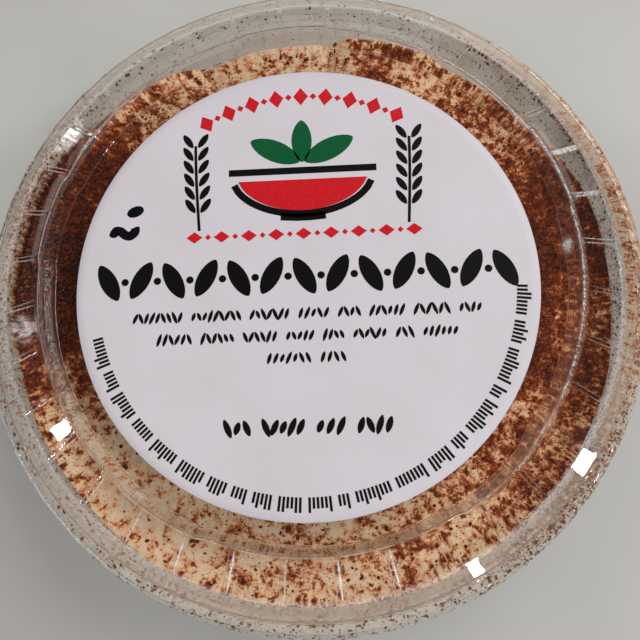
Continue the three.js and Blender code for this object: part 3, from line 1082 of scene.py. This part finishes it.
def stamped(name, shape, marks, material):
    """Print of one motif. marks are (x, y, turn in degrees, wide, tall) on the label."""
    places = [(*to_label(x, y), 0.0) for x, y, *_ in marks]
    base = new_object(name, np.array(places) * MM, [])
    store(base, "turn", [math.radians(m[2]) for m in marks])
    store(base, "wide", [m[3] for m in marks])
    store(base, "tall", [m[4] for m in marks])
    tile = motif(name + "_tile", shape)
    piece = grown(name, base, stamps, material, Motif=tile)
    bpy.data.objects.remove(tile)
    return piece


def joined(name, parts, material):
    """Several pieces of print as one."""
    for other in parts[1:]:
        other.data.materials.clear()
    chosen = dict(active_object=parts[0], selected_editable_objects=parts, selected_objects=parts)
    with bpy.context.temp_override(**chosen):
        bpy.ops.object.join()
    piece = parts[0]
    piece.name = name
    piece.data.name = name
    piece.data.materials.clear()
    piece.data.materials.append(material)
    return piece


def on_arc(radius, degrees):
    a = math.radians(degrees)
    return radius * math.cos(a), radius * math.sin(a)


def ribbon(name, path, half_width, closed=False):
    """A line of ink of even width along a path on the label."""
    p = np.array(path, float)
    n = len(p)
    ahead = np.roll(p, -1, 0) - p
    behind = p - np.roll(p, 1, 0)
    if not closed:
        ahead[-1], behind[0] = behind[-1], ahead[0]
    u = ahead / np.linalg.norm(ahead, axis=1)[:, None]
    v = behind / np.linalg.norm(behind, axis=1)[:, None]
    along = (u + v) / np.linalg.norm(u + v, axis=1)[:, None]
    side = np.stack([-along[:, 1], along[:, 0]], 1)
    width = np.broadcast_to(half_width, n)[:, None] / np.maximum((along * u).sum(1), 0.5)[:, None]
    left, right = p + side * width, p - side * width
    points = []
    for q, z in ((left, INK_LOW), (right, INK_LOW), (left, INK_HIGH), (right, INK_HIGH)):
        points += [(*np.array(to_label(*xy)) * MM, z * MM) for xy in q]
    faces = []
    for i in range(n if closed else n - 1):
        j = (i + 1) % n
        faces += [
            (i, j, n + j, n + i),
            (2 * n + i, 3 * n + i, 3 * n + j, 2 * n + j),
            (i, 2 * n + i, 2 * n + j, j),
            (n + i, n + j, 3 * n + j, 3 * n + i),
        ]
    if not closed:
        faces += [(0, n, 3 * n, 2 * n), (n - 1, 3 * n - 1, 4 * n - 1, 2 * n - 1)]
    return new_object(name, points, faces, smooth=False)


def hatched(random, runs, y, pitch, half_length, half_width):
    """Slanting grains set side by side in each run."""
    marks = []
    for middle, length in runs:
        count = max(2, round(length / pitch))
        for k in range(count):
            tall = half_length * random.choice([1.0, 1.0, 0.78, 1.18])
            x = middle + (k - (count - 1) / 2) * length / count
            marks.append((x, y, random.choice([66, 72, 112]), tall, half_width))
    return marks


def words(random, width, mean, gap):
    """Runs of mixed length that fill a line, centred: (middle, length) pairs."""
    lengths, total = [], 0.0
    while total < width:
        length = mean * random.uniform(0.55, 1.5)
        lengths.append(length)
        total += length + gap
    squeeze = (width - gap * (len(lengths) - 1)) / sum(lengths)
    out, x = [], -width / 2
    for length in lengths:
        length *= squeeze
        out.append((x + length / 2, length))
        x += length + gap
    return out


def every_other(k, big, small):
    """Big for even numbers, small for odd ones."""
    return big if k % 2 == 0 else small


def make_print():
    """The label's design: an arc of lozenges, a bowl with leaves, rice ears, grains and tick marks."""
    random = np.random.default_rng(SEEDS["label"])
    lozenge = [(-1, 0), (0, -1), (1, 0), (0, 1)]
    disc = oval(1, 1)
    grain = oval(1, 1, 24, point=1.35)
    block = [(-1, -1), (1, -1), (1, 1), (-1, 1)]

    steps = range(-8, 9)
    arc = [(*on_arc(33.4, 90 + k * 3.7), k * 3.7, *every_other(k, (1.3, 1.65), (0.6, 0.6))) for k in steps]
    rule = [(k * 2.3, 8.3, 0, *every_other(k, (1.35, 1.0), (0.5, 0.5))) for k in steps]
    across = np.linspace(-11.0, 11.0, 36)
    bowl = [(x, 19.0 - 6.6 * math.sqrt(max(0.0, 1 - (x / 11.2) ** 2)) ** 1.1) for x in across]
    red = [
        stamped("red_arc", lozenge, arc, red_ink),
        stamped("red_rule", lozenge, rule, red_ink),
        motif("bowl_fill", [to_label(x, y) for x, y in bowl]),
    ]
    red_print = joined("print_red", red, red_ink)

    leaves = [(-4.6, 23.3, 154, 4.7, 1.9), (4.6, 23.3, 26, 4.7, 1.9), (0, 25.0, 90, 3.9, 1.75)]
    green_print = joined("print_green", [stamped("green_leaves", grain, leaves, green_ink)], green_ink)

    black = [
        ribbon("bowl_rim", [(x, 19.6) for x in np.linspace(-12.6, 12.6, 12)], 0.6),
        ribbon("bowl_line", [(x * 1.06, y - 0.6) for x, y in bowl], 0.6),
        ribbon("bowl_foot", [(-3.8, 11.4), (-1.2, 11.2), (1.2, 11.2), (3.8, 11.4)], 0.65),
    ]
    for side in (-1, 1):
        up_stem = np.linspace(0, 1, 14)
        stem = [(side * (17.6 + 0.8 * math.sin(t * 1.4)), 9.5 + 15.5 * t) for t in up_stem]
        black.append(ribbon(f"ear_stem_{side}", stem, 0.24))
        spots = [stem[min(3 + 2 * k, 13)] for k in range(6)]
        ears = [(x + lean * 1.3, y + 0.9, 90 - lean * 34, 1.5, 0.58) for x, y in spots for lean in (-1, 1)]
        black.append(stamped(f"ear_grains_{side}", grain, ears, black_ink))
    pitch = 5.45
    big = [(k * pitch, 1.0 + 0.25 * (k % 2), 118 - 56 * (k % 2), 3.5, 1.45) for k in range(-6, 7)]
    black.append(stamped("grain_row", grain, big, black_ink))
    dots = [((k + 0.5) * pitch, 1.0, 0, 0.62, 0.62) for k in range(-6, 6)]
    black.append(stamped("grain_dots", disc, dots, black_ink))
    for row, (y, width, mean) in enumerate(((-5.3, 57, 6.4), (-9.0, 49, 5.2), (-12.6, 13, 6.0))):
        fine = hatched(random, words(random, width, mean, 1.3), y, 0.98, 0.95, 0.3)
        black.append(stamped(f"fine_line_{row}", grain, fine, black_ink))
    bold = hatched(random, words(random, 27, 5.6, 1.6), -23.6, 1.5, 1.35, 0.52)
    black.append(stamped("bold_line", grain, bold, black_ink))
    ticks = []
    at = 194.0
    while at < 352:
        for _ in range(int(random.integers(3, 10))):
            tall = 1.15 if random.random() < 0.35 else 0.85
            ticks.append((*on_arc(35.2 + (tall - 0.85), at), at, tall, 0.2))
            at += 1.05
        at += 1.3
    black.append(stamped("arc_ticks", block, ticks, black_ink))
    black_print = joined("print_black", black, black_ink)

    # A wave and a dot, as from a marker pen.
    turns = [(-32.4, 8.6), (-32.2, 9.9), (-31.4, 10.3), (-30.6, 9.6)]
    turns += [(-29.9, 9.0), (-28.9, 9.2), (-28.4, 10.2), (-28.6, 10.8)]
    at = np.linspace(0, 1, 57)
    weight = np.cos(np.clip(at[:, None] * 7 - np.arange(8), -1.6, 1.6) / 1.6 * math.pi / 2) ** 2
    wave = weight @ np.array(turns) / weight.sum(1)[:, None]
    half = 0.78 * np.sqrt(np.clip(1 - (2 * at - 1) ** 10, 0.05, 1))
    strokes = [
        ribbon("marker_wave", wave, half),
        stamped("marker_dot", disc, [(-28.6, 13.4, 20, 1.5, 0.95)], marker_ink),
    ]
    return red_print, green_print, black_print, joined("marker_strokes", strokes, marker_ink)


# ------------------------------------------------------------------ the object

tub = make_tub()
pudding = make_pudding()
lid = make_lid()
label = make_label()

crumbs = crumb_tree()
stamps = print_tree()

# Name, ground and its stored share, material, seed, most crumbs to a square metre, smallest and largest size,
# flatness, sides and roughening.
loose = [
    strew(*kind)
    for kind in (
        ("cinnamon_dust", pudding, "loose", cinnamon_fine, 3, 6.5e6, 0.06, 0.17, 0.6, 1, 0.0),
        ("cinnamon_specks", pudding, "loose", cinnamon_dark, 11, 1.1e6, 0.12, 0.42, 0.45, 1, 0.12),
        ("cinnamon_clumps", pudding, "loose", cinnamon_dark, 23, 0.12e6, 0.25, 0.6, 0.35, 2, 0.5),
        ("cinnamon_on_wall", tub, "wall_dust", cinnamon_dark, 31, 4.5e6, 0.07, 0.26, 0.4, 1, 0.05),
        ("cinnamon_on_rim", tub, "rim_dust", cinnamon_warm, 47, 11e6, 0.09, 0.36, 0.4, 1, 0.05),
        ("cinnamon_under_flange", lid, "flange_dust", cinnamon_warm, 61, 7e6, 0.09, 0.34, 0.4, 1, 0.05),
    )
]
printed = make_print()

for piece, nodes, slot in (
    (tub, ("container",), "clear_tub"),
    (lid, ("lid",), "clear_lid"),
    (pudding, ("pudding",), "pudding"),
    (label, ("label",), "label_paper"),
):
    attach(piece, "root")
    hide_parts(*nodes)
for piece in loose:
    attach(piece, "root")
for piece in printed:
    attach(piece, "root")

# ------------------------------------------------------------------ floor, light and camera


def make_floor():
    half = 3.0
    corners = [(-half, -half, GROUND), (half, -half, GROUND), (half, half, GROUND), (-half, half, GROUND)]
    floor = new_object("counter", corners, [(0, 1, 2, 3)], make_floor_material())


def direction_of(azimuth, elevation):
    """The direction at these angles in degrees."""
    a, e = math.radians(azimuth), math.radians(elevation)
    return math.cos(e) * math.cos(a), math.cos(e) * math.sin(a), math.sin(e)


def make_world():
    """A dim room with a soft belt of light around it, tilted to leave the sky over the tub dark."""
    world = bpy.data.worlds.new("room")
    bpy.context.scene.world = world
    world.use_nodes = True
    tree = world.node_tree
    tree.nodes.clear()
    direction = node(tree, "ShaderNodeTexCoord", out="Generated")
    height = vector_calc(tree, "DOT_PRODUCT", direction, (-0.06, 0.27, 0.961), out="Value")
    belt = ((0.0, 0.06), (0.38, 0.04), (0.46, 0.78), (0.84, 0.86), (0.91, 0.04), (1.0, 0.02))
    colour = ramp(tree, height, *[(at, (glow, glow * 0.98, glow * 0.945, 1)) for at, glow in belt])
    # Two soft far-off lights, low on the left.
    tall = vector_calc(tree, "MULTIPLY", direction, (1.0, 1.0, 0.12))
    streaks = node(tree, "ShaderNodeTexNoise", {"Vector": tall, "Scale": 90.0, "Detail": 2.0})
    streaks = span(tree, streaks, 0.38, 0.6, 0.15, 1.7)
    for heading, up, reach, strength in ((174, 9, 3.4, 2.6), (137, 4, 4.2, 4.0)):
        near = vector_calc(tree, "DOT_PRODUCT", direction, direction_of(heading, up), out="Value")
        glow = span(tree, near, math.cos(math.radians(reach)), 1.0, 0.0, strength, smooth=True)
        glow = times(tree, glow, streaks)
        colour = vector_calc(tree, "ADD", colour, vector(tree, glow, glow, glow))
    background = node(tree, "ShaderNodeBackground", {"Color": colour, "Strength": 1.0})
    node(tree, "ShaderNodeOutputWorld", {"Surface": background}, out=None)


def lamp(name, azimuth, elevation, distance, wide, tall, strength, colour=(1, 1, 1)):
    """A rectangular lamp that faces the tub, placed by its direction from it in degrees."""
    data = bpy.data.lights.new(name, "AREA")
    data.shape = "RECTANGLE"
    data.size, data.size_y = wide, tall
    data.energy = strength
    data.color = colour
    place = Vector(direction_of(azimuth, elevation)) * distance
    source = link(bpy.data.objects.new(name, data))
    source.location = place + Vector((0, 0, 0.02))
    source.rotation_euler = place.to_track_quat("Z", "Y").to_euler()


def make_camera():
    data = bpy.data.cameras.new("camera")
    data.sensor_fit = "HORIZONTAL"
    data.sensor_width = 36.0
    data.lens = 37.504
    data.clip_start = 0.005
    camera = bpy.data.objects.new("camera", data)
    forward = Vector((-0.0450, 0.2072, -0.9773)).normalized()
    up = Vector((0.0365, 0.9779, 0.2057))
    right = forward.cross(up).normalized()
    up = right.cross(forward)
    turn = Matrix((right, up, -forward)).transposed().to_4x4()
    camera.matrix_world = Matrix.Translation(Vector((6.80, -29.72, 135.80)) * MM) @ turn
    link(camera)
    bpy.context.scene.camera = camera


make_floor()
make_world()
lamp("wide_lamp", 41, 42.5, 1.1, 0.86, 0.3, 5.8, (1.0, 0.985, 0.97))
lamp("low_near_lamp", 258, 60, 1.3, 1.0, 0.5, 1.7, (1.0, 0.985, 0.97))
lamp("near_lamp", 303, 43, 1.2, 0.05, 0.14, 1.9)
lamp("right_lamp", 336, 39, 1.2, 0.09, 0.15, 2.2)
lamp("left_window", 197, 12, 1.2, 0.06, 0.11, 1.0)
make_camera()

scene = bpy.context.scene
scene.view_settings.view_transform = "Standard"
scene.view_settings.exposure = 0.0
scene.cycles.max_bounces = 16
scene.cycles.transmission_bounces = 16
scene.cycles.transparent_max_bounces = 32
scene.cycles.caustics_refractive = False
scene.cycles.caustics_reflective = False
